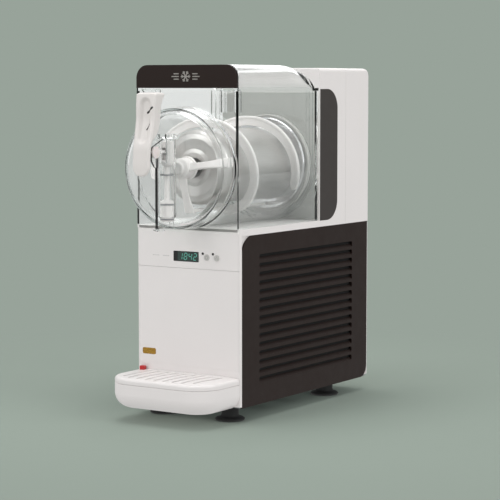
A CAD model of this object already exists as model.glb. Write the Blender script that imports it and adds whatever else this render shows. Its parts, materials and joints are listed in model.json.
"""Slushie machine: the looks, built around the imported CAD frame."""
import json
from math import atan2, cos, hypot, pi, radians, sin, sqrt, tan

import bmesh
import bpy
from mathutils import Matrix, Vector


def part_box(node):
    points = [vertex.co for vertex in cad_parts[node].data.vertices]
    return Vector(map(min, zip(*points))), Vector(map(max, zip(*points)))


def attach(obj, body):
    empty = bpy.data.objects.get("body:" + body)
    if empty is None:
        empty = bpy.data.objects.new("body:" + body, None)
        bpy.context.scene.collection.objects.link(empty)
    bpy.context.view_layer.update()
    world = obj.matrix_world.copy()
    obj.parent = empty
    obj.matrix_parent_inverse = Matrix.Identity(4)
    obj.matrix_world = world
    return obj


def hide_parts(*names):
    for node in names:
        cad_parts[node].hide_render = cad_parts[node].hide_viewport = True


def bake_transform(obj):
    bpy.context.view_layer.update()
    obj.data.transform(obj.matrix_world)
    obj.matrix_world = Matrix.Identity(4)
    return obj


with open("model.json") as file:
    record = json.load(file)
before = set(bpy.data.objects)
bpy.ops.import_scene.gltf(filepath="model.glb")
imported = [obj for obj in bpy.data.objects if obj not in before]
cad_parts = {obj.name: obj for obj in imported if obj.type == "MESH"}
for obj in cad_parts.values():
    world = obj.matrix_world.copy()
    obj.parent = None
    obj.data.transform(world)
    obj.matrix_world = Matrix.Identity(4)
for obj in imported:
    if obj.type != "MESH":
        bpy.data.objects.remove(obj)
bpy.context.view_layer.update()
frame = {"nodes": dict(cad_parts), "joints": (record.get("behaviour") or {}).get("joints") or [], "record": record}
MM = 0.001
NODES = frame["nodes"]
TAU = 2 * pi

# ---- Places, read from the frame ----
FACE_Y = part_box("front_panel")[0].y


def at(x, y, z):
    """A point given in millimetres: y from the front panel, z from the counter."""
    return Vector((x * MM, FACE_Y + y * MM, z * MM))


def in_mm(point):
    """The same place in the millimetres that at() takes."""
    return Vector((point.x / MM, (point.y - FACE_Y) / MM, point.z / MM))


def extent(node):
    """Lowest and highest corner of a CAD node, in millimetres."""
    return [in_mm(corner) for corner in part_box(node)]


BOWL_LO, BOWL_HI = extent("bowl")
RING_LO, RING_HI = extent("evaporator_ring")
PISTON_LO, PISTON_HI = extent("tap_piston")
SPRING_LO, SPRING_HI = extent("tap_spring")
TRAY_LO, TRAY_HI = extent("drip_tray")
GRILLE_LO, GRILLE_HI = extent("drip_grille")
FLOAT_LO, FLOAT_HI = extent("float")
PIVOT = in_mm(Vector(next(j["pos_m"] for j in frame["joints"] if j["name"] == "tap_lever")))
# Height of the axis that the drum, its rings, the auger and the nose are round about
AXIS = (RING_LO.z + RING_HI.z) / 2
TAP_Y = (PISTON_LO.y + PISTON_HI.y) / 2
SPRING_Y = (SPRING_LO.y + SPRING_HI.y) / 2


# ---- Node trees ----
class Tree:
    """Short names for building the nodes of a material, or of a world."""

    def __init__(self, name, world=False):
        self.owner = bpy.data.worlds.new(name) if world else bpy.data.materials.new(name + "_look")
        self.owner.use_nodes = True
        self.nodes = self.owner.node_tree.nodes
        self.links = self.owner.node_tree.links
        self.nodes.clear()
        self.out = self.nodes.new("ShaderNodeOutput" + ("World" if world else "Material"))
        self.coord = self.nodes.new("ShaderNodeTexCoord").outputs["Generated" if world else "Object"]

    def node(self, kind, **inputs):
        made = self.nodes.new(kind)
        for key, value in inputs.items():
            self.feed(made, key.replace("_", " "), value)
        return made

    def feed(self, node, key, value):
        """Links or sets an input, which key gives by its name or its number."""
        if isinstance(value, bpy.types.NodeSocket):
            self.links.new(value, node.inputs[key])
        else:
            node.inputs[key].default_value = value

    def noise(self, scale, detail=4.0, rough=0.55, stretch=(1, 1, 1)):
        mapping = self.node("ShaderNodeMapping", Vector=self.coord, Scale=stretch)
        made = self.node("ShaderNodeTexNoise", Vector=mapping.outputs[0], Scale=scale, Detail=detail,
                         Roughness=rough)
        return made.outputs[0]

    def remap(self, value, low, high, from_low=0.25, from_high=0.75):
        made = self.node("ShaderNodeMapRange", Value=value)
        ends = {"From Min": from_low, "From Max": from_high, "To Min": low, "To Max": high}
        for key, number in ends.items():
            made.inputs[key].default_value = number
        return made.outputs[0]

    def blend(self, factor, a, b):
        made = self.nodes.new("ShaderNodeMix")
        made.data_type = "RGBA"
        self.feed(made, 0, factor)
        self.feed(made, 6, a)
        self.feed(made, 7, b)
        return made.outputs[2]

    def mix(self, factor, a, b):
        """The same for two shaders."""
        made = self.nodes.new("ShaderNodeMixShader")
        for key, value in enumerate((factor, a, b)):
            self.feed(made, key, value)
        return made.outputs[0]

    def maths(self, operation, a, b, clamp=False):
        made = self.nodes.new("ShaderNodeMath")
        made.operation = operation
        made.use_clamp = clamp
        self.feed(made, 0, a)
        self.feed(made, 1, b)
        return made.outputs[0]

    def worn(self, radius_mm, reach=0.5):
        """1 along sharp edges and 0 on flat faces, broken up by noise."""
        bevel = self.nodes.new("ShaderNodeBevel")
        bevel.samples = 2
        bevel.inputs["Radius"].default_value = radius_mm * MM
        geometry = self.nodes.new("ShaderNodeNewGeometry")
        dot = self.nodes.new("ShaderNodeVectorMath")
        dot.operation = "DOT_PRODUCT"
        self.links.new(bevel.outputs[0], dot.inputs[0])
        self.links.new(geometry.outputs["Normal"], dot.inputs[1])
        edge = self.remap(dot.outputs["Value"], reach, 0.0, 0.9, 1.0)
        return self.maths("MULTIPLY", edge, self.remap(self.noise(120, 4), 0.3, 1.0))

    def bump(self, height, strength, distance, normal=None):
        made = self.node("ShaderNodeBump", Height=height, Strength=strength, Distance=distance)
        if normal is not None:
            self.links.new(normal, made.inputs["Normal"])
        return made.outputs[0]

    def show(self, shader, where="Surface"):
        self.links.new(shader, self.out.inputs[where])

    def shader(self, **inputs):
        made = self.node("ShaderNodeBsdfPrincipled", **inputs)
        self.show(made.outputs[0])
        return made


def rgb(r, g, b):
    """A colour from the 0 to 255 scale of a colour chart, as linear light."""
    def linear(c):
        c = c / 255
        return c / 12.92 if c <= 0.04045 else ((c + 0.055) / 1.055) ** 2.4
    return (linear(r), linear(g), linear(b), 1.0)


def shade(colour, k):
    """The colour, k times as light."""
    return tuple(min(1.0, c * k) for c in colour[:3]) + (1.0,)


# ---- Materials ----
def moulded(name, colour, rough, grain, grain_mm, mottle, sheen=0.0, subsurface=0.0, rub=0.0, shine=0.5):
    """Moulded plastic: fine grain in the surface, slow drifts of tone, uneven gloss and rubbed edges."""
    t = Tree(name)
    slow = t.noise(9, 3)
    fine = t.noise(1000 / grain_mm, 2)
    smudge = t.noise(38, 5, 0.6)
    base = t.blend(t.remap(slow, 0, 1), shade(colour, 1 - mottle), shade(colour, 1 + mottle))
    base = t.blend(t.remap(fine, 0, 0.5 * grain), base, shade(colour, 0.8))
    gloss = t.maths("ADD", t.remap(smudge, rough - 0.05, rough + 0.07), t.remap(fine, 0, 0.06))
    if rub:
        worn = t.worn(0.8, rub)
        base = t.blend(worn, base, shade(colour, 1.9))
        gloss = t.maths("SUBTRACT", gloss, t.maths("MULTIPLY", worn, 0.15))
    normal = t.bump(fine, grain, 0.05 * MM, t.bump(slow, 0.06, 0.8 * MM))
    bsdf = t.shader(Base_Color=base, Roughness=gloss, Normal=normal)
    bsdf.inputs["Specular IOR Level"].default_value = shine
    if sheen:
        bsdf.inputs["Coat Weight"].default_value = sheen
        bsdf.inputs["Coat Roughness"].default_value = 0.12
    if subsurface:
        bsdf.inputs["Subsurface Weight"].default_value = subsurface
        bsdf.inputs["Subsurface Scale"].default_value = 4 * MM
    return t.owner


def brushed(name, colour, along, rough, depth, anisotropic=0.5):
    """Brushed metal: hairlines drawn out in the directions where along is small, and faint marks."""
    t = Tree(name)
    lines = t.noise(900, 6, 0.7, along)
    marks = t.noise(30, 4)
    base = t.blend(t.remap(lines, 0, 1), shade(colour, 0.86), shade(colour, 1.08))
    gloss = t.maths("ADD", t.remap(lines, rough - 0.08, rough + 0.1), t.remap(marks, -0.03, 0.05))
    normal = t.bump(lines, depth, 0.02 * MM)
    bsdf = t.shader(Base_Color=base, Metallic=1.0, Roughness=gloss, Normal=normal)
    bsdf.inputs["Anisotropic"].default_value = anisotropic
    return t.owner


def enamel(name, colour, rough, metallic=0.0, orange_peel=0.3):
    """Paint or casting: orange peel, dust in patches."""
    t = Tree(name)
    peel = t.noise(420, 3)
    dust = t.noise(24, 5, 0.65)
    base = t.blend(t.remap(dust, 0, 0.16, 0.5, 0.8), colour, rgb(150, 146, 140))
    gloss = t.remap(dust, rough, rough + 0.22)
    normal = t.bump(peel, orange_peel, 0.12 * MM)
    t.shader(Base_Color=base, Metallic=metallic, Roughness=gloss, Normal=normal)
    return t.owner


ACRYLIC_IOR = 1.49


def clear_moulding(name, tint, rough=0.02, density=7.0):
    """Clear plastic: barely wavy faces, faint haze, and a tint that deepens along the edges."""
    t = Tree(name)
    wave = t.noise(18, 2)
    haze = t.noise(160, 4)
    normal = t.bump(wave, 0.05, 1.0 * MM)
    gloss = t.remap(haze, rough * 0.4, rough * 1.8)
    bsdf = t.shader(Base_Color=(1, 1, 1, 1), Roughness=gloss, IOR=ACRYLIC_IOR, Normal=normal,
                    Transmission_Weight=1.0)
    # Light reaches the parts inside as it would through thin clear walls
    path = t.nodes.new("ShaderNodeLightPath")
    open_way = t.node("ShaderNodeBsdfTransparent", Color=(0.985, 1, 0.99, 1))
    t.show(t.mix(path.outputs["Is Shadow Ray"], bsdf.outputs[0], open_way.outputs[0]))
    absorb = t.node("ShaderNodeVolumeAbsorption", Color=tint, Density=density)
    t.show(absorb.outputs[0], "Volume")
    return t.owner


def circuit_board(name):
    """Green lacquer with bare copper in patches of fine tracks."""
    t = Tree(name)
    cells = t.node("ShaderNodeTexVoronoi", Vector=t.coord, Scale=420)
    tracks = t.remap(cells.outputs["Distance"], 0, 1, 0.35, 0.42)
    patches = t.remap(t.noise(160, 3), 0, 1, 0.45, 0.55)
    base = t.blend(t.maths("MULTIPLY", tracks, patches), rgb(16, 74, 40), rgb(150, 130, 70))
    t.shader(Base_Color=base, Roughness=0.4, Normal=t.bump(tracks, 0.3, 0.05 * MM))
    return t.owner


def foam(name, colour):
    """Open-cell foam: small pits between thin walls."""
    t = Tree(name)
    cells = t.node("ShaderNodeTexVoronoi", Vector=t.coord, Scale=520)
    pits = t.remap(cells.outputs["Distance"], 0, 1, 0.1, 0.6)
    base = t.blend(pits, shade(colour, 0.35), shade(colour, 1.3))
    t.shader(Base_Color=base, Roughness=0.9, Normal=t.bump(pits, 0.8, 0.4 * MM))
    return t.owner


def fins(name):
    """Condenser fins: fine dark gaps across a bright metal block."""
    t = Tree(name)
    lines = t.noise(700, 3, 0.6, (6, 0.6, 0.6))
    dust = t.noise(18, 5, 0.6)
    base = t.blend(t.remap(dust, 0, 0.5), rgb(188, 190, 192), rgb(110, 108, 104))
    normal = t.bump(lines, 0.3, 0.05 * MM)
    t.shader(Base_Color=base, Metallic=0.9, Roughness=t.remap(lines, 0.3, 0.55), Normal=normal)
    return t.owner


def glowing(name, colour, power):
    """Lit display bars: brighter in places, as worn lamps are."""
    t = Tree(name)
    light = t.blend(t.remap(t.noise(300, 3), 0, 1), shade(colour, 0.8), colour)
    t.shader(Base_Color=shade(colour, 0.6), Roughness=0.35, Emission_Color=light, Emission_Strength=power)
    return t.owner


# Slot: colour, roughness, depth of grain, size of grain in millimetres, mottling, and what is special
MOULDED = {
    "white_plastic": ((238, 233, 232), 0.33, 0.18, 0.6, 0.012, {"sheen": 0.15}),
    "brown_plastic": ((40, 29, 26), 0.5, 0.5, 0.7, 0.05, {"rub": 0.5, "shine": 0.2}),
    "tower_trim": ((64, 59, 57), 0.46, 0.35, 0.7, 0.04, {"rub": 0.5, "shine": 0.25}),
    "grey_plastic": ((198, 195, 192), 0.4, 0.25, 0.6, 0.02, {}),
    "black_plastic": ((26, 26, 27), 0.42, 0.4, 0.6, 0.06, {"rub": 0.4}),
    "black_rubber": ((20, 20, 20), 0.62, 0.5, 0.9, 0.08, {}),
    "display_glass": ((20, 50, 44), 0.1, 0.02, 0.4, 0.03, {"sheen": 0.6}),
    "float_red": ((190, 20, 26), 0.3, 0.15, 0.5, 0.04, {"sheen": 0.3}),
    "pin_plastic": ((236, 226, 224), 0.34, 0.15, 0.5, 0.02, {"subsurface": 0.1}),
    "seal_grey": ((150, 150, 152), 0.5, 0.3, 0.6, 0.04, {}),
}
LOOKS = {slot: moulded(slot, rgb(*colour), *numbers, **special)
         for slot, (colour, *numbers, special) in MOULDED.items()}
# After the colour: brushed() takes directions, roughness, depth of the hairlines and anisotropy;
# enamel() takes roughness, metallic and orange peel
LOOKS |= {
    "clear_plastic": clear_moulding("clear_plastic", rgb(120, 176, 160)),
    "stainless": brushed("stainless", rgb(206, 204, 202), (1, 0.05, 1), 0.34, 0.25, 0.3),
    "chrome_ring": brushed("chrome", rgb(222, 222, 224), (0.3, 1, 0.3), 0.1, 0.05, 0.2),
    "galvanised": enamel("galvanised", rgb(150, 152, 154), 0.4, 0.8),
    "condenser_metal": fins("condenser"),
    "grey_metal": enamel("grey_metal", rgb(92, 94, 96), 0.45, 0.3, 0.8),
    "black_enamel": enamel("black_enamel", rgb(22, 22, 24), 0.22),
    "filter_foam": foam("filter_foam", rgb(17, 16, 16)),
    "copper": brushed("copper", rgb(196, 118, 84), (1, 1, 0.2), 0.3, 0.2),
    "board_green": circuit_board("board_green"),
    "gold_metal": brushed("gold_metal", rgb(196, 152, 72), (0.1, 1, 1), 0.24, 0.25),
    "silver_ink": brushed("silver_ink", rgb(196, 190, 186), (0.2, 1, 1), 0.42, 0.1),
}
GLOW = glowing("display_glow", rgb(108, 190, 172), 0.32)
HANDLE = moulded("handle", rgb(228, 223, 220), 0.36, 0.16, 0.5, 0.012, sheen=0.1)
PRINT = moulded("printed_grey", rgb(160, 158, 156), 0.5, 0.2, 0.5, 0.05)


# ---- Mesh building. Points are in millimetres, laid out from the front panel as at() says. ----
def add_object(name, data):
    obj = bpy.data.objects.new(name, data)
    bpy.context.scene.collection.objects.link(obj)
    return obj


def add_mesh(name, points, faces):
    mesh = bpy.data.meshes.new(name)
    mesh.from_pydata([at(*p) for p in points], [], faces)
    bm = bmesh.new()
    bm.from_mesh(mesh)
    bmesh.ops.remove_doubles(bm, verts=bm.verts, dist=0.0005 * MM)
    bmesh.ops.dissolve_degenerate(bm, edges=bm.edges, dist=0.0001 * MM)
    bmesh.ops.recalc_face_normals(bm, faces=bm.faces)
    bm.to_mesh(mesh)
    bm.free()
    return add_object(name, mesh)


def skin(name, rings, around=False):
    """Closed surface through rings of points. The end rings are capped, or joined if it goes around."""
    count = len(rings[0])
    points = [p for ring in rings for p in ring]
    spans = len(rings) if around else len(rings) - 1
    faces = []
    for i in range(spans):
        a, b = i * count, (i + 1) % len(rings) * count
        faces += [(a + j, a + (j + 1) % count, b + (j + 1) % count, b + j) for j in range(count)]
    if not around:
        faces.append(tuple(range(count)))
        faces.append(tuple(range((len(rings) - 1) * count, len(rings) * count)))
    return add_mesh(name, points, faces)


def fillet(corners, radius, steps=5):
    """Outline in a plane with round corners. radius is one number, or one for each corner."""
    outline = []
    for i, corner in enumerate(corners):
        r = radius[i] if isinstance(radius, (list, tuple)) else radius
        here = Vector(corner)
        back, ahead = Vector(corners[i - 1]) - here, Vector(corners[(i + 1) % len(corners)]) - here
        if r <= 0:
            outline.append(tuple(here))
            continue
        half = back.angle(ahead) / 2
        cut = min(r / tan(half), back.length * 0.499, ahead.length * 0.499)
        r = cut * tan(half)
        centre = here + (back.normalized() + ahead.normalized()).normalized() * (r / sin(half))
        first, last = here + back.normalized() * cut - centre, here + ahead.normalized() * cut - centre
        begin = atan2(first.y, first.x)
        turn = (atan2(last.y, last.x) - begin + pi) % TAU - pi
        for s in range(steps + 1):
            angle = begin + turn * s / steps
            outline.append((centre.x + r * cos(angle), centre.y + r * sin(angle)))
    return outline


def rectangle(x0, y0, x1, y1):
    return [(x0, y0), (x1, y0), (x1, y1), (x0, y1)]


def quarter_turn(steps):
    """Angles from 0 to 90 degrees, in radians."""
    return [pi / 2 * k / steps for k in range(steps + 1)]


def turned(u, v, degrees, middle=(0, 0)):
    """A point turned about the origin, then moved to middle."""
    a = radians(degrees)
    return (middle[0] + u * cos(a) - v * sin(a), middle[1] + u * sin(a) + v * cos(a))


def lay(axis, along, u, v):
    """A point at a place along one axis. u and v are its places on the other two, in x, y, z order."""
    return {"x": (along, u, v), "y": (u, along, v), "z": (u, v, along)}[axis]


def prism(name, outline, low, high, axis):
    """Outline drawn out along an axis: it lies in the plane of the other two."""
    return skin(name, [[lay(axis, along, *p) for p in outline] for along in (low, high)])


def lathe(name, outline, middle=(0, AXIS), axis="y", steps=192, ring=False):
    """Turns an outline of (radius, along) points about an axis through middle."""
    angles = [TAU * k / steps for k in range(steps)]
    rings = [[lay(axis, along, middle[0] + r * cos(a), middle[1] + r * sin(a)) for a in angles]
             for r, along in outline]
    return skin(name, rings, around=ring)


def bake(obj):
    """Replaces an object's mesh by what its modifiers make of it."""
    depsgraph = bpy.context.evaluated_depsgraph_get()
    mesh = bpy.data.meshes.new_from_object(obj.evaluated_get(depsgraph))
    obj.modifiers.clear()
    obj.data = mesh


def combine(obj, parts, operation):
    """Joins the parts to obj, cuts them out of it or keeps what they share, as solids."""
    for part in parts:
        step = obj.modifiers.new("step", "BOOLEAN")
        step.operation = operation
        step.solver = "EXACT"
        step.object = part
    bake(obj)
    for part in parts:
        bpy.data.objects.remove(part)


def add(obj, *parts):
    combine(obj, parts, "UNION")


def cut(obj, *parts):
    combine(obj, parts, "DIFFERENCE")


def join(name, parts):
    """One object out of several closed shells that meet or sink into each other."""
    bm = bmesh.new()
    for part in parts:
        bm.from_mesh(part.data)
    mesh = bpy.data.meshes.new(name)
    bm.to_mesh(mesh)
    bm.free()
    for part in parts:
        bpy.data.objects.remove(part)
    return add_object(name, mesh)


def set_material(obj, mat):
    obj.data.materials.clear()
    obj.data.materials.append(mat)


def shade_smooth(obj):
    obj.data.polygons.foreach_set("use_smooth", [True] * len(obj.data.polygons))


def soften(obj, width, segments, angle):
    """Rounds the sharp edges, if it has a width, and keeps the normals of flat faces flat."""
    if width:
        bevel = obj.modifiers.new("edge", "BEVEL")
        bevel.width = width * MM
        bevel.segments = segments
        bevel.limit_method = "ANGLE"
        bevel.angle_limit = radians(angle)
        bevel.use_clamp_overlap = True
    even = obj.modifiers.new("normals", "WEIGHTED_NORMAL")
    even.keep_sharp = True


def dress(obj, look, edge=0.0, segments=2, angle=32):
    """Material, rounded edges and normals. Faces that meet at more than angle degrees stay sharp."""
    set_material(obj, look)
    shade_smooth(obj)
    obj.data.set_sharp_from_angle(angle=radians(angle))
    soften(obj, edge, segments, angle)


def fit(obj, body, slot, *nodes, edge=0.0, segments=2, angle=32, look=None):
    """Finishes a piece: its look, the body it rides on and the CAD nodes it stands for."""
    dress(obj, look or LOOKS[slot], edge, segments, angle)
    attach(obj, body)
    if nodes:
        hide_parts(*nodes)


# ---- Bowl ----
WALL = 3.0
RIM_Z = BOWL_HI.z
BOWL_X = BOWL_HI.x
BOWL_REAR = BOWL_HI.y
DECK = BOWL_LO.z
TROUGH_R = 92.5
NOSE_R, NOSE_OUT = 97.0, 40.0
NOSE_FRONT = -NOSE_OUT - WALL
REAR_HOLE_R = 82.0
PORT_R, PORT_Z = 7.0, 330.0


def u_outline(r, top, bottom=None, steps=72):
    """Half round below the axis, straight walls above it."""
    angles = [pi * k / steps for k in range(steps + 1)]
    arc = [(-r * cos(a), AXIS - r * sin(a)) for a in angles]
    if bottom is not None:
        arc = [(x, max(z, bottom)) for x, z in arc]
    return arc + [(r, top), (-r, top)]


def bowl():
    """Square outer walls, a round trough between them and a round nose in front."""
    outline = fillet(rectangle(-BOWL_X, -WALL, BOWL_X, BOWL_REAR), [1.2, 1.2, 0.6, 0.6])
    walls = prism("bowl_clear", outline, DECK, RIM_Z, "z")
    space = rectangle(-BOWL_X + WALL, 0, BOWL_X - WALL, BOWL_REAR - 6.5)
    cut(walls, prism("pocket", space, DECK - 5, RIM_Z + 5, "z"))
    trough = prism("trough", u_outline(TROUGH_R + WALL, RIM_Z, DECK), -WALL + 1, BOWL_REAR - 1, "y")
    corners = [(NOSE_R, 1), (NOSE_R, -7), (95.2, -9), (94.6, NOSE_FRONT), (0, NOSE_FRONT)]
    nose = lathe("nose", [(0, 1)] + fillet(corners, [0, 1, 1, 7, 0], 8))
    add(walls, trough, nose)
    # The trough narrows in three small steps towards its rear
    stations = [(-0.6, TROUGH_R), (201, TROUGH_R), (202.5, 91.2), (212, 91.2), (213.5, 90), (223, 90),
                (224.5, 88.8), (BOWL_REAR - WALL, 88.8)]
    cavity = skin("cavity", [[(x, y, z) for x, z in u_outline(r, RIM_Z + 5)] for y, r in stations])
    corners = [(TROUGH_R - 0.05, 3), (TROUGH_R - 0.05, -11), (90.4, -13), (90, -NOSE_OUT), (0, -NOSE_OUT)]
    nose_space = lathe("nose_space", [(0, 3)] + fillet(corners, [0, 1, 1, 6, 0], 8))
    hole = lathe("hole", [(0, 200), (REAR_HOLE_R, 200), (REAR_HOLE_R, 240), (0, 240)], steps=160)
    port = lathe("port", [(0, -50), (PORT_R, -50), (PORT_R, -30), (0, -30)], (0, PORT_Z), steps=48)
    cut(walls, cavity, nose_space, hole, port)
    fit(walls, "bowl", "clear_plastic", "bowl", angle=30)


# ---- Tap ----
TUBE_R, TUBE_LOW, TUBE_TOP = 14.0, 305.0, 455.0
BORE_R = 11.0
GLUE = 0.15
LUG_TOP, LUG_THICK = SPRING_LO.z, 4
PIN_HOLE_R = 3.05


def pin_hole():
    """Cuts the bore that the pivot pin turns in."""
    return lathe("pin_hole", [(PIN_HOLE_R, -20), (PIN_HOLE_R, 20)], (PIVOT.y, PIVOT.z), "x", 32)


def tap():
    """Upright tube glued to the nose, with ears for the pin and a lug for the spring."""
    r, collar_r, middle = TUBE_R, TUBE_R + 1.4, (0, TAP_Y)
    corners = [(r, TUBE_LOW), (r, 448), (collar_r, 449.5), (collar_r, TUBE_TOP), (0, TUBE_TOP)]
    tube = lathe("tap_clear", [(0, TUBE_LOW)] + fillet(corners, [1, 1, 0.6, 0.8, 0], 4), middle, "z", 96)
    outline = fillet(rectangle(TAP_Y, TUBE_LOW + 4, NOSE_FRONT + 1, 446), [0, 0, 0, 3])
    pad = prism("pad", outline, -4, 4, "x")
    ears = []
    for side in (-1, 1):
        corners = [(PIVOT.y - 9, PIVOT.z - 12), (PIVOT.y, PIVOT.z - 24), (TAP_Y, PIVOT.z - 24),
                   (TAP_Y, PIVOT.z + 20), (PIVOT.y + 22, PIVOT.z + 20), (PIVOT.y - 9, PIVOT.z + 7)]
        low, high = sorted((side * 10.5, side * 13.5))
        ears.append(prism("ear", fillet(corners, [7, 8, 0, 0, 6, 7], 6), low, high, "x"))
    low = LUG_TOP - LUG_THICK
    arm = prism("lug_arm", rectangle(SPRING_Y, low, TAP_Y, LUG_TOP), -3, 3, "x")
    corners = [(5.5, low), (5.5, LUG_TOP), (0, LUG_TOP)]
    eye = lathe("lug_eye", [(0, low)] + fillet(corners, [1.2, 1, 0], 4), (0, SPRING_Y), "z", 48)
    add(tube, pad, arm, eye, *ears)
    bore = lathe("bore", [(0, 280), (BORE_R, 280), (BORE_R, 460), (0, 460)], middle, "z", 96)
    inner_end = NOSE_FRONT + 5
    port = lathe("port", [(0, TAP_Y), (PORT_R, TAP_Y), (PORT_R, inner_end), (0, inner_end)],
                 (0, PORT_Z), steps=48)
    slot = prism("slot", rectangle(TAP_Y - r - 3, PIVOT.z - 17, TAP_Y, 460), -6, 6, "x")
    back = prism("back", rectangle(NOSE_FRONT - GLUE, 280, NOSE_FRONT + 9, 460), -20, 20, "x")
    cut(tube, bore, port, pin_hole(), slot, back)
    fit(tube, "bowl", "clear_plastic", "tap_body", angle=30)


def piston():
    """Slim rod between a sealed foot and a guide with a window for the lever."""
    low, high, r, rod_r = PISTON_LO.z, PISTON_HI.z, PISTON_HI.x, 4.2
    corners = [(r - 2.5, low), (r, low + 3), (r, low + 30), (r - 1.5, low + 33), (rod_r, low + 36),
               (rod_r, high - 40), (r - 1.5, high - 37), (r, high - 34), (r, high), (0, high)]
    outline = [(0, low)] + fillet(corners, [0.6, 1, 1, 1, 2, 2, 1, 1, 1, 0], 3)
    body = lathe("piston_turned", outline, (0, TAP_Y), "z", 72)
    cuts = [prism("window", rectangle(TAP_Y - 20, PIVOT.z - 6, TAP_Y + 6, PIVOT.z + 6), -4.5, 4.5, "x"),
            prism("window_foot", rectangle(TAP_Y - 20, PIVOT.z - 13, TAP_Y - 4, PIVOT.z + 6), -4.5, 4.5, "x")]
    for z in (PORT_Z - 9, PORT_Z + 14):
        cuts.append(lathe("groove", rectangle(r - 1.5, z, r + 1, z + 3), (0, TAP_Y), "z", 72, ring=True))
    cut(body, *cuts)
    fit(body, "tap_piston", "white_plastic", "tap_piston", edge=0.25, angle=40)


def coil_spring():
    """Close-wound tension spring."""
    low, high, coil_r, wire_r = SPRING_LO.z, SPRING_HI.z, 1.85, 0.46
    pitch, per_turn, around = 1.0, 10, 6
    count = int((high - low) / pitch * per_turn)
    rings = []
    for i in range(count + 1):
        a = TAU * i / per_turn
        z = low + (high - low) * i / count
        out = Vector((cos(a), sin(a), 0))
        centre = Vector((0, SPRING_Y, z)) + out * coil_r
        rings.append([tuple(centre + out * (wire_r * cos(TAU * k / around))
                            + Vector((0, 0, wire_r * sin(TAU * k / around)))) for k in range(around)])
    obj = skin("spring_coil", rings)
    dress(obj, LOOKS["black_enamel"], angle=80)
    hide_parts("tap_spring")
    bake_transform(obj)


# ---- Handle ----
def along_line(points, t):
    """Value at t on a line through (t, value) points."""
    for (t0, v0), (t1, v1) in zip(points, points[1:]):
        if t <= t1:
            return v0 + (v1 - v0) * (t - t0) / (t1 - t0)
    return points[-1][1]


def smooth_line(points, t, reach=5.0):
    """The same line with smooth corners: averaged over a short reach on both sides."""
    return sum(along_line(points, t + reach * k / 4) for k in range(-4, 5)) / 9


def stadium(x, z, low, high, half):
    """How far inside an upright round-ended slot a point lies, from 1 at its middle to 0 at its edge."""
    nearest = min(max(z, low + half), high - half)
    return max(0.0, 1 - hypot(x, z - nearest) / half)


def rounding(inset, r):
    """How much a half width loses to a round corner of radius r, at an inset from the end."""
    return r - sqrt(max(0.0, r ** 2 - (r - inset) ** 2)) if inset < r else 0.0


# (height, place or half width) along the grip
HANDLE_FRONT = [(380, -126), (408, -126), (435, -123.4), (455, -118.6), (478, -114), (500, -113),
                (530, -109)]
HANDLE_REAR = [(380, -119.4), (430, -117.8), (444, -116), (452, -106.5), (462, -99), (476, -95.5),
               (500, -94), (509, -90), (516, -84.5), (530, -84)]
HANDLE_HALF = [(380, 15.2), (430, 15.5), (456, 17.4), (480, 17.6), (505, 18.6), (530, 19)]
HANDLE_FOOT, HANDLE_CROWN, HANDLE_LEVELS = 391.4, 519.6, 150
FOOT_ROUND, CROWN_ROUND, EDGE_ROUND = 15.3, 5.0, 3.4
GROOVE_LOW, GROOVE_TOP, GROOVE_HALF = 440.0, 513.0, 11.5
GROOVE_DEEP, GROOVE_DEEPER, GROOVE_RUN = 3.0, 2.2, 60
FRONT_SPANS, SIDE_SPANS, BACK_SPANS, CORNER_SPANS = 36, 4, 10, 6
# Slits in the grip: middle x and z, length, width, lean in degrees
SLITS = ((8.0, 492.5, 17.5, 3.4, 36), (6.6, 467, 12.5, 2.4, 54))


def handle_ring(half, front, rear, z):
    """Section of the grip at one height, with a finer row of points across its front."""
    middle, deep = (front + rear) / 2, (rear - front) / 2
    r = min(EDGE_ROUND, deep * 0.85, half * 0.8)
    wide, long = 2 * half - 2 * r, 2 * deep - 2 * r
    turn = quarter_turn(CORNER_SPANS)
    ring = [(-half + r + wide * k / FRONT_SPANS, middle - deep) for k in range(FRONT_SPANS + 1)]
    ring += [(half - r + r * sin(a), middle - deep + r - r * cos(a)) for a in turn[1:]]
    ring += [(half, middle - deep + r + long * k / SIDE_SPANS) for k in range(1, SIDE_SPANS)]
    ring += [(half - r + r * cos(a), middle + deep - r + r * sin(a)) for a in turn]
    ring += [(half - r - wide * k / BACK_SPANS, middle + deep) for k in range(1, BACK_SPANS)]
    ring += [(-half + r - r * sin(a), middle + deep - r + r * cos(a)) for a in turn]
    ring += [(-half, middle + deep - r - long * k / SIDE_SPANS) for k in range(1, SIDE_SPANS)]
    ring += [(-half + r - r * cos(a), middle - deep + r - r * sin(a)) for a in turn[:-1]]
    depth = GROOVE_DEEP + GROOVE_DEEPER * min(1.0, max(0.0, (z - GROOVE_LOW) / GROOVE_RUN))
    placed = []
    for k, (x, y) in enumerate(ring):
        if k <= FRONT_SPANS:
            inside = min(1.0, stadium(x, z, GROOVE_LOW, GROOVE_TOP, GROOVE_HALF) / 0.6)
            y += inside ** 2 * (3 - 2 * inside) * depth
        placed.append((x, y, z))
    return placed


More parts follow.
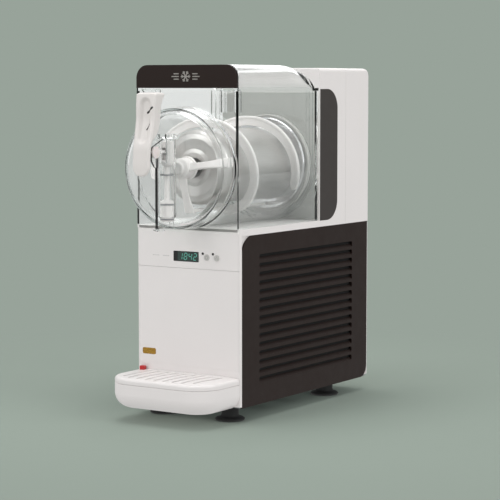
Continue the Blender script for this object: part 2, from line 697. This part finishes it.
def handle():
    """Grip with a finger groove, and two slits backed by dark plugs."""
    rings = []
    for i in range(HANDLE_LEVELS + 1):
        # Closer together towards both ends
        t = 0.5 - 0.5 * cos(pi * i / HANDLE_LEVELS)
        z = HANDLE_FOOT + (HANDLE_CROWN - HANDLE_FOOT) * (0.3 * t + 0.7 * i / HANDLE_LEVELS)
        half = smooth_line(HANDLE_HALF, z)
        half -= rounding(z - HANDLE_FOOT, FOOT_ROUND) + rounding(HANDLE_CROWN - z, CROWN_ROUND)
        front, rear = smooth_line(HANDLE_FRONT, z), smooth_line(HANDLE_REAR, z, 3)
        end = min(1.0, (z - HANDLE_FOOT) / 3.5, (HANDLE_CROWN - z) / 3.0)
        shrink = max(0.15, sqrt(max(0.0, 1 - (1 - end) ** 2)))
        middle, deep = (front + rear) / 2, (rear - front) / 2
        rings.append(handle_ring(max(half, 0.6), middle - deep * shrink, middle + deep * shrink, z))
    grip = skin("handle_grip", rings)
    cuts, plugs = [], []
    for x, z, length, wide, lean in SLITS:
        y = smooth_line(HANDLE_FRONT, z)
        outline = fillet(rectangle(-length / 2, -wide / 2, length / 2, wide / 2), wide * 0.45, 3)
        outline = [turned(u, v, lean, (x, z)) for u, v in outline]
        cuts.append(prism("slot", outline, y - 4, y + 13, "y"))
        plugs.append(prism("plug", outline, y - 4, y + 11, "y"))
    # The plugs take the grip's own front face, a millimetre further in
    plug = join("grip_slit_plugs", plugs)
    combine(plug, [add_object("whole", grip.data.copy())], "INTERSECT")
    plug.data.transform(Matrix.Translation((0, 1.0 * MM, 0)))
    fit(plug, "tap_handle", "black_plastic", angle=40)
    # Notch round the lug that carries the grip
    cuts.append(prism("notch", rectangle(PIVOT.y - 14, PIVOT.z - 7, PIVOT.y - 8, PIVOT.z + 7),
                      -9.5, 9.5, "x"))
    cut(grip, *cuts)
    fit(grip, "tap_handle", "white_plastic", "tap_handle", angle=50, look=HANDLE)


def lever():
    """Lug round the pivot, and the flat lever that lifts the piston."""
    p, spring, tip = PIVOT, SPRING_Y, TAP_Y
    corners = [(p.y - 13.6, p.z - 7), (p.y + 4, p.z - 8), (p.y + 8, p.z - 3), (p.y + 8, p.z + 3),
               (p.y + 4, p.z + 8), (p.y - 13.6, p.z + 7)]
    lug = prism("handle_lug", fillet(corners, [1, 6, 6, 6, 6, 1]), -9.5, 9.5, "x")
    corners = [(p.y, p.z - 3), (spring - 3, p.z - 3), (spring - 3, p.z - 6), (spring + 3, p.z - 6),
               (spring + 3, p.z - 2), (tip - 4, p.z - 2), (tip - 2, p.z - 5), (tip + 4, p.z - 4),
               (tip + 5, p.z), (tip + 4, p.z + 4), (tip - 2, p.z + 5), (tip - 4, p.z + 2), (p.y, p.z + 3)]
    add(lug, prism("arm", fillet(corners, 1.2, 3), -3, 3, "x"))
    cut(lug, pin_hole())
    fit(lug, "tap_handle", "white_plastic", "handle_lever", edge=0.6)


def pin():
    """Pivot pin with a rounded head at each end."""
    head_r, shank_r = 9.5, 3
    corners = [(9, -18), (head_r, -13.6), (shank_r, -13.6), (shank_r, 13.6), (head_r, 13.6), (9, 18)]
    outline = [(0, -18)] + fillet(corners, [3.2, 0.4, 0.2, 0.2, 0.4, 3.2], 6) + [(0, 18)]
    obj = lathe("pivot_pin_turned", outline, (PIVOT.y, PIVOT.z), "x", 40)
    fit(obj, "bowl", "pin_plastic", "pivot_pin", angle=50)


# ---- Auger and drum ----
AUGER_R, RIBBON_R, PITCH, AT_SIDE = 80.0, 64.0, 124.0, 75.7
AUGER_FRONT, AUGER_REAR = 8.0, 212.0
HUB_R, ARM_REACH = 11, 72
BAR_IN, BAR_OUT, BAR_MIDDLE = 65.6, 71.2, 68.4


def around_axis(r, y, degrees, aside=0.0):
    """A point r from the drum's axis at an angle, and aside from that radius."""
    x, z = turned(r, aside, degrees, (0, AXIS))
    return (x, y, z)


def ribbon():
    """Spiral ribbon: a thin inner web and a rounded bead along its outer edge."""
    corners = [(RIBBON_R, -1.3), (74.5, -1.7), (76.5, -2.9), (AUGER_R, -2.9), (AUGER_R, 2.9), (76.5, 2.9),
               (74.5, 1.7), (RIBBON_R, 1.3)]
    section = fillet(corners, [1.2, 2, 1.5, 2.6, 2.6, 1.5, 2, 1.2], 4)
    middle = (AUGER_R + RIBBON_R) / 2
    steps = 230
    rings = []
    for i in range(steps + 1):
        y = AUGER_FRONT + (AUGER_REAR - AUGER_FRONT) * i / steps
        end = min(1.0, min(y - AUGER_FRONT, AUGER_REAR - y) / 4.0)
        swell = sqrt(max(0.0, 1 - (1 - end) ** 2)) * 0.92 + 0.08 if end < 1 else 1.0
        rings.append([around_axis(middle + (r - middle) * swell, y + w * swell,
                                  360 * (AT_SIDE - y) / PITCH) for r, w in section])
    return skin("ribbon", rings)


def tie_bar(degrees):
    """Bar along the auger that ties its turns together."""
    section = fillet(rectangle(BAR_IN, -4, BAR_OUT, 4), 2.2, 4)
    rings = [[around_axis(BAR_MIDDLE + (r - BAR_MIDDLE) * k, y, degrees, w * k) for r, w in section]
             for y, k in ((3, 0.5), (4.2, 1), (211.8, 1), (213, 0.5))]
    return skin("bar", rings)


def spider_arm(degrees):
    """Pitched arm that leans back from the hub to the rim."""
    section = fillet(rectangle(-7, -2.6, 7, 2.6), 2.4, 4)
    spans = 18
    rings = []
    for i in range(spans + 1):
        t = i / spans
        r = HUB_R + (ARM_REACH - HUB_R) * t
        y = -14 + 21 * t ** 1.25
        pitch = 30 - 12 * t
        wide = 1.12 - 0.28 * sin(pi * min(1.0, t * 1.1))
        bent = [turned(w * wide, h, pitch) for w, h in section]
        rings.append([around_axis(r, y + deep, degrees, across) for across, deep in bent])
    return skin("arm", rings)


def auger():
    """Hub and arms in front of the drum, and the spiral round it."""
    corners = [(15, 10), (16, 4), (16, -21), (11.5, -25), (10, -29), (0, -29)]
    hub = lathe("hub", [(0, 10)] + fillet(corners, [1.5, 3, 4, 2, 3, 0], 5), steps=72)
    section = fillet([(14, -3), (18.4, -3), (18.4, 3), (14, 3)], [0, 2, 2, 0], 4)
    collar = lathe("collar", section, steps=72, ring=True)
    parts = [ribbon(), tie_bar(-90), tie_bar(150), hub, collar] + [spider_arm(a) for a in (8, 150, 270)]
    fit(join("auger_spiral", parts), "auger", "white_plastic", "auger", angle=48)


def drum():
    """Chilled drum: turned front with a boss, then a straight barrel."""
    corners = [(9, 20), (16, 17.6), (24, 17.6), (30, 19.4), (46, 18), (54.5, 20.5), (59.2, 26),
               (60, 33), (60, 234.4), (0, 234.4)]
    outline = [(0, 20)] + fillet(corners, [1, 3, 3, 4, 8, 8, 8, 10, 0.3, 0], 6)
    fit(lathe("drum_shell", outline), "chassis", "stainless", "evaporator", angle=50)


def rings_behind_drum():
    """Polished ring round the drum's rear, and the gasket that seals the bowl."""
    corners = [(60.4, 219), (75.4, 219), (77, 220.6), (77, 226), (60.4, 226)]
    chrome = fillet(corners, [0.8, 1.6, 1.6, 0.8, 0.8], 5)
    fit(lathe("chrome_ring_turned", chrome, ring=True),
        "chassis", "chrome_ring", "evaporator_ring", angle=40)
    lip = REAR_HOLE_R
    corners = [(70.4, 227), (lip - 3.4, 227), (lip - 2.6, 225.4), (lip - 0.3, 225.8), (lip - 0.3, 234.4),
               (70.4, 234.4)]
    seal = fillet(corners, [0.5, 0.6, 1, 1.4, 0.5, 0.5], 4)
    fit(lathe("bowl_gasket_ring", seal, ring=True),
        "chassis", "grey_plastic", "bowl_gasket", angle=50)


# ---- Lid ----
LID_TOP, LID_DROP_Y, LID_DROP_RUN = 562.4, 142.0, 82.0
LID_FLANGE_Z = RIM_Z + 4.6
LID_WALL, LID_CORNER = 2.5, 21.0
FLAT_SPANS, DROP_SPANS = 10, 22


def lid_height(y, inset=0.0):
    """Height of the lid's top: flat, then a quarter ellipse down to the rear flange."""
    if y <= LID_DROP_Y:
        return LID_TOP - inset
    run = min(1.0, (y - LID_DROP_Y) / (LID_DROP_RUN - inset))
    base = LID_FLANGE_Z - inset
    return base + (LID_TOP - inset - base) * sqrt(max(0.0, 1 - run ** 2))


def lid_section(y, half, bottom, top, corner):
    r = min(corner, max(0.6, (top - bottom) * 0.58))
    arc = quarter_turn(10)
    points = [(-half, bottom)] + [(-half + r - r * cos(a), top - r + r * sin(a)) for a in arc]
    points += [(half - r + r * sin(a), top - r + r * cos(a)) for a in arc] + [(half, bottom)]
    return [(x, y, z) for x, z in points]


def lid():
    """Clear cover that slopes down at the rear, with lugs at the front that hook into the bowl."""
    low, last = RIM_Z + 0.2, BOWL_REAR + 2.5
    flat = [LID_DROP_Y * k / FLAT_SPANS for k in range(FLAT_SPANS + 1)]
    drop = [sin(pi / 2 * k / DROP_SPANS) for k in range(1, DROP_SPANS + 1)]
    front = {-3.0: 1.2, -2.8: 0.6, -2.2: 0.2, -1.2: 0}
    outer = []
    for y in list(front) + flat + [LID_DROP_Y + LID_DROP_RUN * k for k in drop]:
        inset = front.get(y, 0)
        outer.append(lid_section(y, BOWL_X - inset, low, lid_height(y) - inset, LID_CORNER - inset))
    outer.append(lid_section(last, BOWL_X, low, LID_FLANGE_Z, 0.6))
    shell = skin("lid_clear", outer)
    inner = []
    for y in [-3 + LID_WALL] + flat[1:] + [LID_DROP_Y + (LID_DROP_RUN - LID_WALL - 2) * k for k in drop]:
        top = max(lid_height(y, LID_WALL), low + 0.8)
        inner.append(lid_section(y, BOWL_X - LID_WALL, low - 8, top, LID_CORNER - LID_WALL))
    cut(shell, skin("inner", inner))
    lugs, holes = [], []
    for side in (-1, 1):
        x0, x1 = sorted((side * 62, side * 89))
        lugs.append(prism("lug", fillet(rectangle(x0, -1, x1, 17), [1, 1, 3, 3], 4), 488, RIM_Z + 3.6, "z"))
        hollow = fillet(rectangle(x0 + 2, 4.5, x1 - 2, 15), 2, 4)
        holes.append(prism("hole", hollow, 480, RIM_Z + 1.4, "z"))
        holes.append(prism("notch", rectangle(x0 - 5, -1.6, x1 + 5, 2.6), 480, low, "z"))
    add(shell, *lugs)
    cut(shell, *holes)
    fit(shell, "lid", "clear_plastic", "lid", angle=30)


# ---- Drip tray ----
TRAY_X, TRAY_OUT, TRAY_Z = TRAY_HI.x, -TRAY_LO.y, TRAY_LO.z
TRAY_CORNER, TRAY_ROUND, TRAY_WALL = 46.0, 24.0, 2.5
SEAM_Z, GRILLE_Z, GRILLE_EDGE = GRILLE_LO.z, GRILLE_HI.z, 5.0
SLOT_PITCH, SLOT_LEAN = 17.0, 7


def scoop(inset, back, z, steps=24):
    """Tray outline at one height: flat back, straight sides and round front corners."""
    a, r = TRAY_X - inset, TRAY_CORNER - inset
    middle_x, middle_y = TRAY_X - TRAY_CORNER, TRAY_CORNER - TRAY_OUT
    right = [(middle_x + r * cos(t), middle_y - r * sin(t), z) for t in quarter_turn(steps)]
    left = [(-x, y, z) for x, y, z in reversed(right)]
    return [(a, -back, z)] + right + left + [(-a, -back, z)]


def rounded_foot(r, steps):
    """Insets and heights of a rounded lower edge."""
    return [(r - r * sin(a), r - r * cos(a)) for a in quarter_turn(steps)]


def tray():
    """Shell with round lower edges, and two hooks that hold it in the kick panel."""
    wall = TRAY_WALL
    rings = [scoop(d, 0, TRAY_Z + h) for d, h in rounded_foot(TRAY_ROUND, 14)]
    rings += [scoop(0, 0, SEAM_Z - 1.4), scoop(0.25, 0, SEAM_Z - 0.5), scoop(0.9, 0.3, SEAM_Z - 0.1)]
    rings += [scoop(wall - 0.5, wall - 0.3, SEAM_Z - 0.1), scoop(wall, wall, SEAM_Z - 0.8)]
    inner = reversed(rounded_foot(TRAY_ROUND - wall, 10))
    rings += [scoop(wall + d, wall, TRAY_Z + wall + h) for d, h in inner]
    shell = skin("tray_shell", rings)
    corners = [(-1, 43), (7.5, 43), (7.5, 51), (5, 51), (5, 49), (-1, 49)]
    hooks = [prism("hook", fillet(corners, 0.8, 3), *ends, "x") for ends in ((-70, -60), (60, 70))]
    add(shell, *hooks)
    fit(shell, "drip_tray", "white_plastic", "drip_tray", angle=40)


def grille():
    """Lightly crowned cover of the tray, with leaning slots and a hole for the float."""
    gap, wall, edge, side = 0.6, TRAY_WALL, GRILLE_EDGE, SEAM_Z + 4.5
    rings = [scoop(0.5, gap, SEAM_Z + 0.1), scoop(0.1, gap, SEAM_Z + 0.4), scoop(0, gap, SEAM_Z + 1.2)]
    rings += [scoop(edge - edge * cos(a), gap, side + edge * sin(a)) for a in quarter_turn(8)]
    crown = GRILLE_Z - SEAM_Z - 4.5 - edge
    rings += [scoop(edge + d, gap, side + edge + crown * (1 - (1 - d / 40) ** 2))
              for d in (6, 14, 24, 33, 40)]
    plate = skin("grille_plate", rings)
    under = [scoop(wall + 2, wall, SEAM_Z - 1), scoop(wall + 2, wall, SEAM_Z + 6),
             scoop(wall + 5, wall, SEAM_Z + 8.2)]
    cuts = [skin("under", under)]
    low, high = SEAM_Z - 3, GRILLE_Z + 3
    for i in range(-4, 5):
        # The outer two are shorter, because the corners are round
        outline = fillet(rectangle(-2, -31 if abs(i) > 3 else -39, 2, 38), 1.95, 6)
        middle = (i * SLOT_PITCH, -TRAY_OUT / 2)
        cuts.append(prism("slot", [turned(u, v, -SLOT_LEAN, middle) for u, v in outline], low, high, "z"))
    hole = rectangle(FLOAT_LO.x - gap, FLOAT_LO.y - gap, FLOAT_HI.x + gap, FLOAT_HI.y + gap)
    cuts.append(prism("float_hole", fillet(hole, 1.2, 4), low, high, "z"))
    cut(plate, *cuts)
    fit(plate, "drip_grille", "white_plastic", "drip_grille", edge=0.45, angle=40)


def float_marker():
    lo, hi = FLOAT_LO, FLOAT_HI
    cap = prism("float_cap", fillet(rectangle(lo.x, lo.y, hi.x, hi.y), 1.4, 4), hi.z - 12.4, hi.z, "z")
    outline = fillet(rectangle(lo.x + 1.5, lo.y + 1, hi.x - 1.5, hi.y - 3), 0.6, 3)
    add(cap, prism("stem", outline, lo.z, hi.z - 11.4, "z"))
    fit(cap, "float", "float_red", "float", edge=0.8, segments=3)


# ---- Display ----
SEGMENTS = {"1": "bc", "2": "abged", "4": "fgbc", "8": "abcdefg"}
FIGURE_WIDE, FIGURE_TALL, BAR_WIDE, LEAN = 5.4, 10.4, 1.15, 0.12


def digit(char, x, z):
    """Seven-segment figure made of thin bars that lean to the right."""
    wide, mid, tip = FIGURE_WIDE, FIGURE_TALL / 2, BAR_WIDE / 2
    bars = {"a": (0, FIGURE_TALL, wide, 0), "g": (0, mid, wide, 0), "d": (0, 0, wide, 0),
            "f": (0, mid, mid, 1), "b": (wide, mid, mid, 1), "e": (0, 0, mid, 1), "c": (wide, 0, mid, 1)}
    made = []
    for key in SEGMENTS[char]:
        u, v, length, upright = bars[key]
        near, far = 0.25, length - 0.5
        line = [(near, 0), (near + tip, tip), (far - tip, tip), (far, 0), (far - tip, -tip),
                (near + tip, -tip)]
        outline = [((u - b if upright else u + a), (v + a if upright else v + b)) for a, b in line]
        made.append(prism("bar", [(x + p + q * LEAN, z + q) for p, q in outline], 0.24, 0.36, "y"))
    return made


def flat_ring(name, outer, inner, back, front):
    """Frame between two outlines that have as many points as each other."""
    rings = [(outer, back), (outer, front), (inner, front), (inner, back)]
    return skin(name, [[(x, y, z) for x, z in outline] for outline, y in rings], around=True)


def display():
    """Lit figures, the window's thin rim and its dark margin."""
    bars = []
    for char, x in zip("1842", (-17.6, -8.4, 0.8, 10.0)):
        bars += digit(char, x, 254.2)
    fit(join("display_digits", bars), "chassis", "display_glass", look=GLOW)
    outer = fillet(rectangle(-28.1, 251.3, 20.6, 267.5), 1.0, 4)
    inner = fillet(rectangle(-27.3, 252.1, 19.8, 266.7), 0.7, 4)
    rim = flat_ring("display_rim", outer, inner, 0.3, -0.25)
    fit(rim, "chassis", "black_plastic", angle=30)
    margin = prism("display_margin", rectangle(-27.2, 252.2, -20.5, 266.6), 0.24, 0.35, "y")
    fit(margin, "chassis", "black_plastic")


MENU_X, START_X, BUTTON_Z, BUTTON_FACE = 36, 55, 259.5, -0.66
PRINT_THICK = 0.12


def dots(name, count, first, out, r, steps, back, front):
    """Printed dots in a ring round the start button's middle."""
    made = []
    for k in range(count):
        a = radians(first) + TAU * k / count
        middle = (START_X + out * cos(a), BUTTON_Z + out * sin(a))
        made.append(lathe("dot", [(0, back), (r, back), (r, front), (0, front)], middle, steps=steps))
    return join(name, made)


def panel_marks():
    """Plain printed marks: dashes beside the display, a ring and dots on the buttons."""
    dashes = [prism("dash", rectangle(x, 258.7, x + 3.2, 259.3), -0.06, 0.1, "y")
              for x in (-69, -64.4, -59.8, -49, -44.6, -40.2)]
    fit(join("panel_dashes", dashes), "chassis", "silver_ink", look=PRINT)
    low, high = BUTTON_FACE, BUTTON_FACE + PRINT_THICK
    ring = lathe("menu_ring", rectangle(2.25, low, 2.95, high), (MENU_X, BUTTON_Z), steps=48, ring=True)
    fit(ring, "menu_button", "silver_ink", angle=30, look=PRINT)
    fit(dots("start_dots", 3, 90, 1.9, 0.75, 20, low, high),
        "start_button", "silver_ink", angle=30, look=PRINT)
    fit(dots("start_halo", 16, 0, 7, 0.28, 12, -0.06, 0.1),
        "chassis", "silver_ink", angle=30, look=PRINT)


def badge_relief():
    """Raised rim and three plain lozenges on the small plate."""
    x0, z0, x1, z1 = -90, 97.5, -64, 107.5
    rim_wide, z = 0.8, (z0 + z1) / 2
    outer = fillet(rectangle(x0, z0, x1, z1), 2.5, 6)
    inner = fillet(rectangle(x0 + rim_wide, z0 + rim_wide, x1 - rim_wide, z1 - rim_wide), 1.8, 6)
    rim = flat_ring("rim", outer, inner, 0.05, -0.3)
    marks = [prism("mark", [(x - 2.6, z), (x, z + 2.8), (x + 2.6, z), (x, z - 2.8)], -0.25, 0.05, "y")
             for x in (-83.5, -77, -70.5)]
    fit(join("badge_relief", [rim] + marks), "chassis", "gold_metal", angle=30)


def emblem_bars():
    """Bars on both sides of the ice crystal."""
    bars = []
    for side in (-1, 1):
        for row, length in ((-1, 10), (0, 14), (1, 10)):
            x0, x1 = sorted((side * 13, side * (13 + length)))
            z = 544 + row * 4.2
            outline = fillet(rectangle(x0, z - 0.8, x1, z + 0.8), 0.7, 3)
            bars.append(prism("bar", outline, -5.55, -4.95, "y"))
    fit(join("emblem_bars", bars), "lid", "silver_ink", angle=30)


# ---- Fan ----
FAN_Z, FAN_Y, BLADES = 130.0, 91, 5


def fan_blade(start):
    """Twisted, cambered blade that sets out from the hub at an angle in radians."""
    rings = []
    for i in range(13):
        t = i / 12
        r = 13 + 47 * t
        pitch = radians(46 - 22 * t)
        chord = (14 + 20 * sin(pi * (0.15 + 0.62 * t))) * (1 if t < 0.95 else 0.9)
        ring = []
        for k in range(16):
            a = TAU * k / 16
            u, thick = chord / 2 * cos(a), 1.1 * sin(a) * (1 - 0.3 * t)
            rise = thick + 2.2 * (1 - (2 * u / chord) ** 2)
            across = u * cos(pitch) - rise * sin(pitch)
            deep = u * sin(pitch) * 0.5 + rise * cos(pitch)
            turn = start + across / r + 0.25 * t
            ring.append((r * cos(turn), FAN_Y + deep, FAN_Z + r * sin(turn)))
        rings.append(ring)
    return skin("blade", rings)


def fan():
    """Hub with five twisted blades."""
    corners = [(14.5, 84), (16, 86), (16, 98), (0, 98)]
    hub = lathe("hub", [(0, 84)] + fillet(corners, [2, 2, 1, 0], 4), (0, FAN_Z), steps=48)
    shaft = lathe("shaft", [(0, 97), (3, 97), (3, 128), (0, 128)], (0, FAN_Z), steps=24)
    blades = [fan_blade(TAU * k / BLADES) for k in range(BLADES)]
    fit(join("fan_wheel", [hub, shaft] + blades), "fan", "black_plastic", "fan_blades", angle=40)


for build in (bowl, tap, piston, coil_spring, handle, lever, pin, auger, drum, rings_behind_drum, lid,
              tray, grille, float_marker, display, panel_marks, badge_relief, emblem_bars, fan):
    build()

# ---- CAD nodes that stay: finishes and broken edges, in millimetres ----
EDGES = {
    0.2: "display_lens",
    0.3: "status_leds front_badge rear_screws",
    0.4: "body_shell kick_panel menu_button start_button power_inlet",
    0.5: "side_panel_left side_panel_right rear_panel tower_trim_left tower_trim_right power_switch bulkhead",
    0.8: "display_panel lid_panel feet",
    0.9: "deck",
    1.0: "front_panel tower_housing tower_cover compressor",
    1.5: "gearbox",
}
for row in frame["record"]["subparts"]:
    set_material(NODES[row["node"]], LOOKS[row["material_slot"]])
for width, names in EDGES.items():
    for name in names.split():
        # The weld closes a CAD mesh's split corners. Its own vertices stay as they are.
        weld = NODES[name].modifiers.new("weld", "WELD")
        weld.merge_threshold = 0.002 * MM
        soften(NODES[name], width, 2, 35)
        shade_smooth(NODES[name])


# ---- Stage, light, camera ----
BACKDROP = rgb(152, 163, 154)
FLOOR_DROP, FLOOR_HALF = 0.2 * MM, 20


def show_backdrop(t, seen, unseen):
    """What the camera sees directly, against what lights and reflects in the object."""
    path = t.nodes.new("ShaderNodeLightPath")
    t.show(t.mix(path.outputs["Is Camera Ray"], unseen, seen))


def studio_floor():
    """Pale floor: lit and shaded near the machine, fading into the even tone of the backdrop."""
    t = Tree("floor")
    base = t.blend(t.remap(t.noise(2, 3), 0, 1), shade(BACKDROP, 0.9), shade(BACKDROP, 0.93))
    matt = t.node("ShaderNodeBsdfDiffuse", Color=base)
    even = t.node("ShaderNodeEmission", Color=BACKDROP)
    flat = t.node("ShaderNodeMapping", Vector=t.coord, Scale=(1, 1, 0))
    length = t.node("ShaderNodeVectorMath", Vector=flat.outputs[0])
    length.operation = "LENGTH"
    fade = t.remap(length.outputs["Value"], 0, 1, 0.35, 0.95)
    pale = t.node("ShaderNodeEmission", Color=rgb(226, 228, 226), Strength=0.8)
    show_backdrop(t, t.mix(fade, matt.outputs[0], even.outputs[0]), pale.outputs[0])
    mesh = bpy.data.meshes.new("floor")
    bm = bmesh.new()
    bmesh.ops.create_grid(bm, x_segments=1, y_segments=1, size=FLOOR_HALF)
    bm.to_mesh(mesh)
    bm.free()
    obj = add_object("floor", mesh)
    obj.location.z = -FLOOR_DROP
    set_material(obj, t.owner)


def area_light(name, place, size, power):
    """Soft panel that faces the middle of the machine."""
    data = bpy.data.lights.new(name, "AREA")
    data.shape = "RECTANGLE"
    data.size, data.size_y = size
    data.energy = power
    obj = add_object(name, data)
    obj.location = place
    obj.rotation_euler = (Vector((0, 0, 0.3)) - Vector(place)).to_track_quat("-Z", "Y").to_euler()
    obj.visible_camera = False


def studio_world():
    """Even tone behind the machine. Its light is bright through clear parts and softer on matt ones."""
    t = Tree("studio", world=True)
    bpy.context.scene.world = t.owner
    path = t.nodes.new("ShaderNodeLightPath").outputs
    power = t.remap(path["Is Transmission Ray"], 0.72, 0.98, 0, 1)
    # Reflections are dull near the horizon
    height = t.node("ShaderNodeSeparateXYZ", Vector=t.coord)
    dull = t.remap(height.outputs["Z"], 1, 0, 0.08, 0.45)
    mirrored = t.maths("SUBTRACT", path["Is Glossy Ray"], path["Is Transmission Ray"], clamp=True)
    tone = t.blend(t.maths("MULTIPLY", dull, mirrored), rgb(240, 241, 240), shade(BACKDROP, 0.8))
    seen = t.node("ShaderNodeBackground", Color=BACKDROP)
    unseen = t.node("ShaderNodeBackground", Color=tone, Strength=power)
    show_backdrop(t, seen.outputs[0], unseen.outputs[0])


def camera():
    """Looks at the machine from its front right, a little above its middle."""
    azimuth, elevation, distance = radians(33.22), radians(5.19), 3.047
    target = at(0, 179.6, 256.2)
    back = Vector((sin(azimuth) * cos(elevation), -cos(azimuth) * cos(elevation),
                   sin(elevation)))
    data = bpy.data.cameras.new("camera")
    data.lens = 131.4
    data.sensor_width = 36
    obj = add_object("camera", data)
    obj.rotation_mode = "QUATERNION"
    obj.location = target + back * distance
    obj.rotation_quaternion = (-back).to_track_quat("-Z", "Y")
    bpy.context.scene.camera = obj


studio_floor()
area_light("key", (-0.9, -2.5, 1.9), (1.6, 1.6), 20)
area_light("side", (2.7, -0.2, 1.4), (1.4, 2.0), 19)
area_light("top", (0, -0.1, 2.5), (1.8, 1.8), 26)
area_light("rear", (-0.8, 2.4, 1.4), (1.6, 1.6), 10)
studio_world()
camera()
bpy.context.scene.view_settings.view_transform = "Standard"
